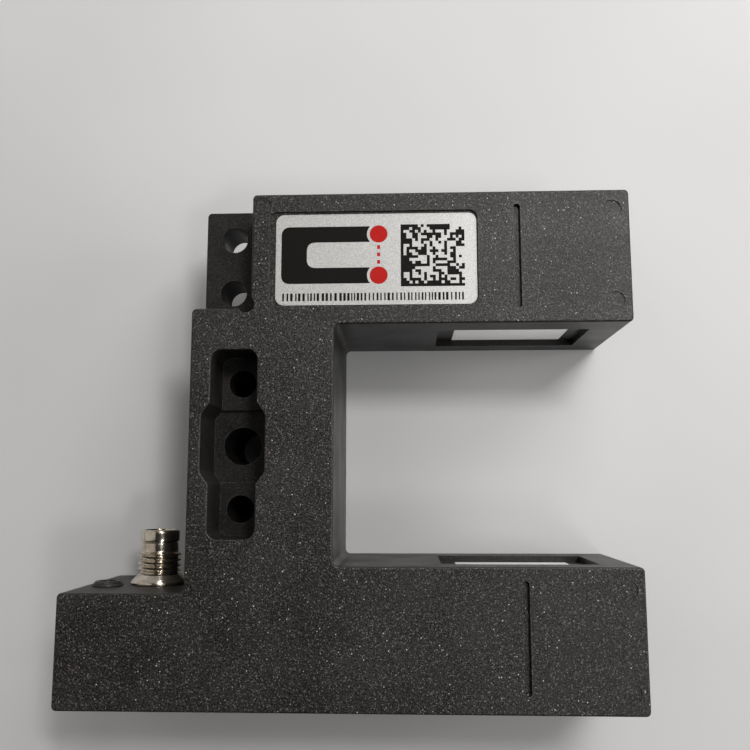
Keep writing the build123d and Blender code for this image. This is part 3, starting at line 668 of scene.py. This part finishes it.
# ------------------------ sub-assemblies
@dataclass
class Casting:
    """Housing and rear cover: their CAD shapes with their coats, and the eight cover screws."""

    nodes: dict[str, Coat] = field(default_factory=lambda: {
        "housing": Coat.CASTING, "rear_cover": Coat.COVER, "cover_gasket": Coat.RUBBER,
    })
    head_radius: float = 1.9 * MM
    head_depth: float = 1.1 * MM
    shank_radius: float = 1.0 * MM
    socket_flats: float = 1.3 * MM
    socket_depth: float = 0.7 * MM
    ease: float = 0.08 * MM
    sides: int = 48

    def build(self) -> None:
        """Dress the castings and make the screws."""
        for node, coat in self.nodes.items():
            dress_node(node, coat)
        self.screws()

    def centres(self) -> list[Point]:
        """Centres of the screws, read from the loose shells of the CAD node."""
        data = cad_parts["cover_screws"].data
        return [((low.x + high.x) / 2, (low.y + high.y) / 2) for low, high in shells(data)]

    def screws(self) -> None:
        """Countersunk screws with hexagon sockets, all in one piece."""
        low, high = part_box("cover_screws")
        length = high.z - low.z
        whole = bmesh.new()
        for x, y in self.centres():
            add_screw(whole, Vector((x, y, low.z)), self, length)
        piece = new_piece("cover_screw_set", whole, Coat.STEEL, smooth=True)
        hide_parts("cover_screws")


def add_screw(whole: bmesh.types.BMesh, seat: Vector, size: Casting, length: float) -> None:
    """Add one countersunk screw, head down at `seat` and shank along +Z.

    Args:
        whole: the mesh to add to.
        seat: centre of the head's face.
        size: holds the screw's sizes.
        length: overall length.
    """
    radii = [(size.head_radius - size.ease, 0.0), (size.head_radius, size.ease),
             (size.shank_radius, size.head_depth), (size.shank_radius, length - size.shank_radius * 0.3),
             (size.shank_radius * 0.7, length)]
    rings = []
    for radius, height in radii:
        rings.append([whole.verts.new(seat + Vector((radius * math.cos(a), radius * math.sin(a), height)))
                      for a in (2 * math.pi * i / size.sides for i in range(size.sides))])
    for ring, after in zip(rings, rings[1:]):
        for i in range(size.sides):
            j = (i + 1) % size.sides
            whole.faces.new((ring[i], ring[j], after[j], after[i]))
    whole.faces.new(rings[-1])
    corner = size.socket_flats / math.sqrt(3)
    mouth = []
    for i in range(size.sides):
        angle = 2 * math.pi * i / size.sides
        sector = (angle % (math.pi / 3)) - math.pi / 6
        reach = corner * math.cos(math.pi / 6) / math.cos(sector)
        mouth.append(seat + Vector((reach * math.cos(angle), reach * math.sin(angle), 0.0)))
    upper = [whole.verts.new(p) for p in mouth]
    lower = [whole.verts.new(p + Vector((0, 0, size.socket_depth))) for p in mouth]
    for i in range(size.sides):
        j = (i + 1) % size.sides
        whole.faces.new((rings[0][i], upper[i], upper[j], rings[0][j]))
        whole.faces.new((upper[i], lower[i], lower[j], upper[j]))
    whole.faces.new(lower)


def shells(data: bpy.types.Mesh) -> list[tuple[Vector, Vector]]:
    """Boxes of a mesh's separate shells, in the order of their first vertex.

    Args:
        data: a mesh whose shells share no vertex.

    Returns:
        Lowest and highest corner of each shell.
    """
    work = bmesh.new()
    work.from_mesh(data)
    bmesh.ops.remove_doubles(work, verts=work.verts, dist=MERGE_DISTANCE)
    work.verts.ensure_lookup_table()
    seen: set[int] = set()
    boxes = []
    for first in work.verts:
        if first.index in seen:
            continue
        stack, group = [first], []
        seen.add(first.index)
        while stack:
            vert = stack.pop()
            group.append(vert.co.copy())
            for edge in vert.link_edges:
                other = edge.other_vert(vert)
                if other.index not in seen:
                    seen.add(other.index)
                    stack.append(other)
        low = Vector(min(c[i] for c in group) for i in range(3))
        high = Vector(max(c[i] for c in group) for i in range(3))
        boxes.append((low, high))
    work.free()
    return boxes


def dress_node(node: str, coat: Coat) -> None:
    """Give a CAD node its finish."""
    coat.value.dress(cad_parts[node])
    log.info("%s: CAD shape, %s", node, coat.value.name)


@dataclass
class TypeLabel:
    """Silver film with a generic print: a fork with its beam, a block pattern and a row of plain bars."""

    corner: float = 1.5 * MM
    corner_steps: int = 12
    ink_rise: float = 0.012 * MM
    ease: float = 0.03 * MM
    code_modules: int = 22
    code_size: float = 11.4 * MM
    code_right: float = 2.15 * MM
    code_top: float = 2.05 * MM
    code_share: float = 0.48
    code_seed: int = 7
    sign_left: float = 1.0 * MM
    sign_bottom: float = 3.9 * MM
    sign_length: float = 19.6 * MM
    sign_height: float = 10.5 * MM
    sign_arm: float = 2.9 * MM
    sign_back: float = 4.6 * MM
    sign_corner: float = 1.6 * MM
    notch_steps: int = 12
    ring_radius: float = 2.1 * MM
    dot_radius: float = 1.6 * MM
    dot_sides: int = 48
    beam_width: float = 0.55 * MM
    beam_steps: int = 5
    line_left: float = 1.25 * MM
    line_right: float = 2.0 * MM
    line_bottom: float = 0.75 * MM
    line_height: float = 1.4 * MM
    line_seed: int = 11
    bar_widths: tuple[float, ...] = (0.24, 0.32, 0.44)
    bar_gaps: tuple[float, ...] = (0.26, 0.34, 0.46)
    last_bar: float = 0.4 * MM

    def build(self) -> None:
        """Film first, then the three prints on it."""
        self.low, self.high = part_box("type_label")
        self.film()
        self.sign()
        self.code()
        self.line()

    def film(self) -> None:
        """Rounded film with a soft edge."""
        mesh = bmesh.new()
        outline = rounded_rectangle(self.low.xy, self.high.xy, self.corner, self.corner_steps)
        slab(mesh, outline, self.low.z, self.high.z - self.ink_rise)
        rim = [e for e in mesh.edges if all(v.co.z > self.low.z + self.ease for v in e.verts)]
        bmesh.ops.bevel(mesh, geom=rim, offset=self.ease, segments=2, affect="EDGES", profile=0.6)
        piece = new_piece("label_film", mesh, Coat.FILM, smooth=True)
        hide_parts("type_label")

    def print_shapes(self, name: str, outlines: Iterable[Sequence[Point]], coat: Coat) -> None:
        """Lay flat inked shapes on the film.

        Args:
            name: name of the printed piece.
            outlines: outlines measured from the film's lower left corner.
            coat: the ink.
        """
        mesh = bmesh.new()
        top = self.high.z
        for outline in outlines:
            moved = [(self.low.x + x, self.low.y + y) for x, y in outline]
            slab(mesh, moved, top - self.ink_rise, top)
        new_piece(name, mesh, coat)

    def sign(self) -> None:
        """Fork open to the right, a red lamp in each notched arm end and the dashed beam between them."""
        left, foot = self.sign_left, self.sign_bottom
        half = self.sign_arm / 2
        head = foot + self.sign_height
        lamp_x = left + self.sign_length - self.ring_radius
        low_y, high_y = foot + half, head - half
        bow = math.asin(half / self.ring_radius)
        turns = [bow * (1 - 2 * i / self.notch_steps) for i in range(self.notch_steps + 1)]
        notch = [(lamp_x - self.ring_radius * math.cos(a), self.ring_radius * math.sin(a)) for a in turns]
        back = left + self.sign_back
        fork = eased([(left, foot), (left, head), *[(x, high_y + y) for x, y in notch],
                      (back, high_y - half), (back, low_y + half), *[(x, low_y + y) for x, y in notch]],
                     self.sign_corner, 6)
        self.print_shapes("label_sign_fork", [fork], Coat.BLACK_INK)
        spokes = [2 * math.pi * i / self.dot_sides for i in range(self.dot_sides)]
        lamps = [[(lamp_x + self.dot_radius * math.cos(a), y + self.dot_radius * math.sin(a))
                  for a in spokes] for y in (low_y, high_y)]
        self.print_shapes("label_sign_lamps", lamps, Coat.RED_INK)
        start, end = low_y + self.ring_radius, high_y - self.ring_radius
        dash = (end - start) / self.beam_steps
        wide = self.beam_width / 2
        dashes = [rectangle((lamp_x - wide, start + dash * i), (lamp_x + wide, start + dash * (i + 1)))
                  for i in range(0, self.beam_steps, 2)]
        self.print_shapes("label_sign_beam", dashes, Coat.RED_INK)

    def code(self) -> None:
        """Square field of plain blocks, drawn by a seeded generator: it holds no data."""
        draw = random.Random(self.code_seed)
        module = self.code_size / self.code_modules
        left = self.high.x - self.low.x - self.code_right - self.code_size
        bottom = self.high.y - self.low.y - self.code_top - self.code_size
        runs = []
        for row in range(self.code_modules):
            start = None
            for column in range(self.code_modules + 1):
                border = row == 0 or column == 0
                dark = column < self.code_modules and (border or draw.random() < self.code_share)
                if dark and start is None:
                    start = column
                if not dark and start is not None:
                    runs.append(rectangle((left + start * module, bottom + row * module),
                                          (left + column * module, bottom + (row + 1) * module)))
                    start = None
        self.print_shapes("label_block_field", runs, Coat.BLACK_INK)

    def line(self) -> None:
        """Row of plain upright bars where a printed line would stand."""
        draw = random.Random(self.line_seed)
        end = self.high.x - self.low.x - self.line_right
        bars = []
        x = self.line_left
        while x < end - self.last_bar:
            thick = draw.choice(self.bar_widths) * MM
            bars.append(rectangle((x, self.line_bottom), (x + thick, self.line_bottom + self.line_height)))
            x += thick + draw.choice(self.bar_gaps) * MM
        self.print_shapes("label_bar_line", bars, Coat.BLACK_INK)


@dataclass
class Windows:
    """The two milky panes: a stepped block each, with polished, eased edges."""

    ease: float = 0.12 * MM
    segments: int = 3
    step_back: float = 1.35 * MM
    flange: float = 1.25 * MM

    def build(self) -> None:
        """Make both panes, the emitter's looking along -Y and the receiver's along +Y."""
        for arm, way in (("emitter", -1), ("receiver", 1)):
            self.pane(arm, way)

    def pane(self, arm: str, way: int) -> None:
        """One pane.

        Args:
            arm: name of the arm.
            way: the way its face looks along Y.
        """
        low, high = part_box(f"{arm}_window")
        face = high.y if way > 0 else low.y
        back = low.y if way > 0 else high.y
        shoulder = face - way * self.step_back
        mesh = bmesh.new()
        front = self.block(mesh, (low.x + self.flange, low.z + self.flange),
                           (high.x - self.flange, high.z - self.flange), shoulder, face)
        self.block(mesh, (low.x, low.z), (high.x, high.z), back, shoulder)
        slack = self.ease / 9
        rim = {e for f in front for e in f.edges if all(abs(v.co.y - face) < slack for v in e.verts)}
        bmesh.ops.bevel(mesh, geom=list(rim), offset=self.ease, segments=self.segments,
                        affect="EDGES", profile=0.5)
        piece = new_piece(f"{arm}_pane", mesh, Coat.PANE, smooth=True)
        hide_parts(f"{arm}_window")

    def block(self, mesh: bmesh.types.BMesh, low: Point, high: Point,
              near: float, far: float) -> list[bmesh.types.BMFace]:
        """Box between two corners in XZ and two planes in Y; returns its faces."""
        corners = [(low[0], low[1]), (high[0], low[1]), (high[0], high[1]), (low[0], high[1])]
        first = [mesh.verts.new((x, near, z)) for x, z in corners]
        second = [mesh.verts.new((x, far, z)) for x, z in corners]
        faces = [mesh.faces.new(first), mesh.faces.new(list(reversed(second)))]
        for i in range(4):
            j = (i + 1) % 4
            faces.append(mesh.faces.new((first[i], first[j], second[j], second[i])))
        return faces


@dataclass
class Plug:
    """M8 sensor plug: turned shell with a cut thread, contact carrier and four pins."""

    thread_radius: float = 4.0 * MM
    thread_depth: float = 0.55 * MM
    pitch: float = 1.0 * MM
    thread_start: float = 2.1 * MM
    thread_length: float = 4.0 * MM
    run_out: float = 0.35 * MM
    root_share: float = 0.06
    flank_share: float = 0.80
    flange_lip: float = 1.2 * MM
    flange_rim: float = 0.5 * MM
    flange_height: float = 1.9 * MM
    shank_radius: float = 3.85 * MM
    neck_radius: float = 3.42 * MM
    collar_radius: float = 3.6 * MM
    collar_length: float = 2.15 * MM
    collar_round: float = 0.42 * MM
    undercut_radius: float = 3.22 * MM
    undercut: float = 0.28 * MM
    step_radius: float = 4.50 * MM
    step: float = 0.12 * MM
    step_height: float = 1.25 * MM
    height: float = 10.05 * MM
    bore_radius: float = 2.95 * MM
    edge: float = 0.16 * MM
    sides: int = 144
    rows_per_turn: int = 24
    pin_sides: int = 24
    pin_rings: int = 6
    pin_centre: float = 0.06

    def build(self) -> None:
        """Make the shell and dress what it holds."""
        self.shell()
        dress_node("connector_insert", Coat.INSERT)
        dress_node("connector_o_ring", Coat.RUBBER)
        dress_node("connector_nut", Coat.NICKEL)
        dress_node("connector_leads", Coat.LEAD)
        self.pins()

    def thread(self, radius: float, height: float, angle: float) -> float:
        """Radius of the cut thread; elsewhere the radius is left as it is."""
        start, end = self.thread_start, self.thread_start + self.thread_length
        if radius < self.bore_radius + self.edge or not start <= height <= end:
            return radius
        turn = (height / self.pitch - angle / (2 * math.pi)) % 1.0
        wave = 1.0 - abs(2.0 * turn - 1.0)
        cut = min(1.0, max(0.0, (wave - self.root_share) / self.flank_share))
        fade = min(1.0, (height - start) / self.run_out, (end - height) / self.run_out)
        root = self.thread_radius - self.thread_depth
        return root + self.thread_depth * cut * fade

    def shell(self) -> None:
        """Turn the shell and cut its thread."""
        low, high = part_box("connector_shell")
        centre = Vector(((low.x + high.x) / 2, high.y - self.height, (low.z + high.z) / 2))
        tail = low.y - centre.y
        root = self.thread_radius - self.thread_depth
        flange = self.thread_radius + self.flange_lip
        end = self.thread_start + self.thread_length
        collar = self.height - self.collar_length
        below = eased([(self.bore_radius, tail), (self.thread_radius, tail), (self.thread_radius, 0.0),
                       (flange, 0.0), (flange, self.flange_rim),
                       (self.step_radius + self.step, self.step_height - self.step),
                       (self.step_radius, self.step_height), (self.shank_radius, self.flange_height),
                       (root, self.thread_start)], self.edge)[2:-4]
        count = int(self.rows_per_turn * self.thread_length / self.pitch)
        cut = [(root, self.thread_start + self.thread_length * i / count) for i in range(count + 1)]
        cut_at = collar - self.undercut
        shy = self.collar_round
        above = eased([(root, end), (self.neck_radius, end + self.edge), (self.neck_radius, cut_at),
                       (self.undercut_radius, cut_at + self.edge), (self.undercut_radius, collar),
                       (self.collar_radius, collar), (self.collar_radius, self.height - shy),
                       (self.collar_radius - shy * 0.3, self.height - shy * 0.3),
                       (self.collar_radius - shy, self.height),
                       (self.bore_radius, self.height), (self.bore_radius, collar)], self.edge)[4:-4]
        profile = [*below, *cut, *above, (self.bore_radius, collar)]
        mesh = turned(profile, centre, self.sides, self.thread)
        piece = new_piece("plug_shell", mesh, Coat.NICKEL, smooth=True)
        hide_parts("connector_shell")

    def pins(self) -> None:
        """Four round pins with domed tips."""
        mesh = bmesh.new()
        for low, high in shells(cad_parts["connector_pins"].data):
            radius = (high.x - low.x) / 2
            foot = Vector(((low.x + high.x) / 2, low.y, (low.z + high.z) / 2))
            length = high.y - low.y
            dome = [(radius * math.cos(a), length - radius + radius * math.sin(a))
                    for a in (math.pi / 2 * i / self.pin_rings for i in range(self.pin_rings))]
            inner = radius * self.pin_centre
            profile = [(inner, 0.0), (radius, 0.0), *dome, (inner, length)]
            part = turned(profile, foot, self.pin_sides)
            data = bpy.data.meshes.new("pin")
            part.to_mesh(data)
            part.free()
            mesh.from_mesh(data)
            bpy.data.meshes.remove(data)
        piece = new_piece("plug_pins", mesh, Coat.GOLD, smooth=True)
        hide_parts("connector_pins")


@dataclass
class StatusLight:
    """Small raised collar beside the plug with its smoked, slightly sunk light pipe."""

    top_radius: float = 2.15 * MM
    rim: float = 0.25 * MM
    bore_radius: float = 1.55 * MM
    edge: float = 0.18 * MM
    dome: float = 0.22 * MM
    dome_rings: int = 8
    centre: float = 0.02
    sides: int = 96

    def build(self) -> None:
        """Make the collar and the light pipe."""
        low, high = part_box("light_bezel")
        foot = Vector(((low.x + high.x) / 2, low.y, (low.z + high.z) / 2))
        outer = (high.x - low.x) / 2
        height = high.y - low.y
        section = eased([(self.bore_radius, 0.0), (outer, 0.0), (outer, self.rim),
                         (self.top_radius, height), (self.bore_radius, height)], self.edge)
        ring = turned(section, foot, self.sides)
        collar = new_piece("light_collar", ring, Coat.BEZEL, smooth=True)
        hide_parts("light_bezel")

        low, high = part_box("light_pipe")
        base = Vector(((low.x + high.x) / 2, low.y, (low.z + high.z) / 2))
        radius = (high.x - low.x) / 2
        length = high.y - low.y
        crown = [(radius * math.cos(a), length - self.dome + self.dome * math.sin(a))
                 for a in (math.pi / 2 * i / self.dome_rings for i in range(self.dome_rings))]
        inner = radius * self.centre
        mesh = turned([(inner, 0.0), (radius, 0.0), *crown, (inner, length)], base, self.sides)
        pipe = new_piece("light_rod", mesh, Coat.SMOKED, smooth=True)
        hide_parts("light_pipe")


@dataclass
class Electronics:
    """Everything inside the closed body: CAD shapes with their own finishes."""

    nodes: dict[str, Coat] = field(default_factory=lambda: {
        "main_board": Coat.BOARD, "main_board_screws": Coat.STEEL, "main_board_headers": Coat.HEADER,
        "processor_chip": Coat.CHIP, "voltage_regulator": Coat.CHIP, "output_driver": Coat.CHIP,
        "board_capacitors": Coat.CAN, "status_led": Coat.DIODE, "emitter_diode": Coat.DIODE,
        "receiver_photodiode": Coat.CHIP, "emitter_flex": Coat.FLEX, "receiver_flex": Coat.FLEX,
    })
    arm_nodes: dict[str, Coat] = field(default_factory=lambda: {
        "window_seal": Coat.RUBBER, "lens": Coat.LENS, "lens_holder": Coat.HOLDER, "board": Coat.BOARD,
        "board_screws": Coat.STEEL, "board_header": Coat.HEADER,
    })

    def build(self) -> None:
        """Dress every inner node."""
        for node, coat in self.nodes.items():
            dress_node(node, coat)
        for arm in ("emitter", "receiver"):
            for part, coat in self.arm_nodes.items():
                dress_node(f"{arm}_{part}", coat)


# ------------------------ studio
@dataclass(frozen=True)
class SoftBox:
    """One rectangular area light."""

    name: str
    place: tuple[float, float, float]
    target: tuple[float, float, float]
    width: float
    height: float
    power: float
    colour: Colour = (1.0, 0.985, 0.96)

    def light(self) -> None:
        """Hang the light, facing its target."""
        data = bpy.data.lights.new(self.name, "AREA")
        data.shape = "RECTANGLE"
        data.size = self.width
        data.size_y = self.height
        data.energy = self.power
        data.color = self.colour
        lamp = bpy.data.objects.new(self.name, data)
        lamp.location = self.place
        lamp.rotation_mode = "QUATERNION"
        lamp.rotation_quaternion = (Vector(self.target) - Vector(self.place)).to_track_quat("-Z", "Y")
        bpy.context.scene.collection.objects.link(lamp)


@dataclass
class Studio:
    """Pale table, soft light and the camera over the sensor."""

    table_half: float = 1.5
    camera_place: tuple[float, float, float] = (0.010576, -0.007963, 0.173184)
    camera_right: tuple[float, float, float] = (0.999168, -0.0008, -0.040789)
    camera_up: tuple[float, float, float] = (0.006370, 0.990603, 0.136624)
    lens: float = 39.675
    sensor: float = 36.0
    clip: float = 0.005
    sky: Colour = (0.80, 0.82, 0.86)
    sky_strength: float = 0.02
    boxes: tuple[SoftBox, ...] = (
        SoftBox("back_strip", (0.1825, 0.2019, 0.5385), (0.01, 0.0, 0.0), 0.14, 0.035, 1.20),
        SoftBox("front_strip", (0.4197, -0.3707, 0.9529), (0.01, 0.0, 0.0), 0.26, 0.07, 1.55),
        SoftBox("back_box", (0.11, 0.4985, 0.2324), (0.01, 0.0, 0.0), 0.25, 0.25, 0.95),
        SoftBox("right_box", (0.5085, 0.0, 0.2324), (0.01, 0.0, 0.0), 0.25, 0.25, 1.05),
        SoftBox("corner_box", (0.42, 0.46, 0.40), (0.06, 0.06, 0.0), 0.30, 0.30, 1.55),
        SoftBox("roof_box", (0.16, 0.15, 0.42), (0.01, 0.0, 0.0), 0.30, 0.30, 0.20),
        SoftBox("back_panel", (-0.30, 0.90, 0.16), (-0.04, 0.0, 0.02), 1.20, 0.36, 0.45),
        SoftBox("left_panel", (-0.58, 0.38, 0.445), (0.0, 0.38, 0.0), 1.10, 1.05, 1.75, (1.0, 0.955, 0.90)),
    )

    def build(self) -> None:
        """Set the stage."""
        self.table()
        self.light()
        self.camera()

    def table(self) -> None:
        """One wide flat table top at the height that the sensor lies on."""
        mesh = bmesh.new()
        half = self.table_half
        corners = [(-half, -half), (half, -half), (half, half), (-half, half)]
        mesh.faces.new([mesh.verts.new((x, y, 0.0)) for x, y in corners])
        data = bpy.data.meshes.new("table_top")
        mesh.to_mesh(data)
        mesh.free()
        top = bpy.data.objects.new("table_top", data)
        bpy.context.scene.collection.objects.link(top)
        Coat.TABLE.value.dress(top)

    def light(self) -> None:
        """Even sky and the soft boxes."""
        world = bpy.data.worlds.new("sky")
        world.use_nodes = True
        background = world.node_tree.nodes["Background"]
        background.inputs["Color"].default_value = (*self.sky, 1.0)
        background.inputs["Strength"].default_value = self.sky_strength
        scene = bpy.context.scene
        scene.world = world
        scene.view_settings.view_transform = "Standard"
        for box in self.boxes:
            box.light()

    def camera(self) -> None:
        """Camera above the sensor, slightly tilted."""
        data = bpy.data.cameras.new("camera")
        data.lens = self.lens
        data.sensor_width = self.sensor
        data.clip_start = self.clip
        right = Vector(self.camera_right).normalized()
        up = Vector(self.camera_up)
        up = (up - right * up.dot(right)).normalized()
        back = right.cross(up)
        turn = Matrix((right, up, back)).transposed()
        eye = bpy.data.objects.new("camera", data)
        eye.matrix_world = Matrix.Translation(self.camera_place) @ turn.to_4x4()
        bpy.context.scene.collection.objects.link(eye)
        bpy.context.scene.camera = eye


def main() -> None:
    """Build the sub-assemblies in order and set the stage."""
    logging.basicConfig(level=logging.INFO, format="%(name)s %(message)s")
    for part in (Casting(), TypeLabel(), Windows(), Plug(), StatusLight(), Electronics(), Studio()):
        log.info("building %s", type(part).__name__)
        part.build()


if __name__ == "__main__":
    main()
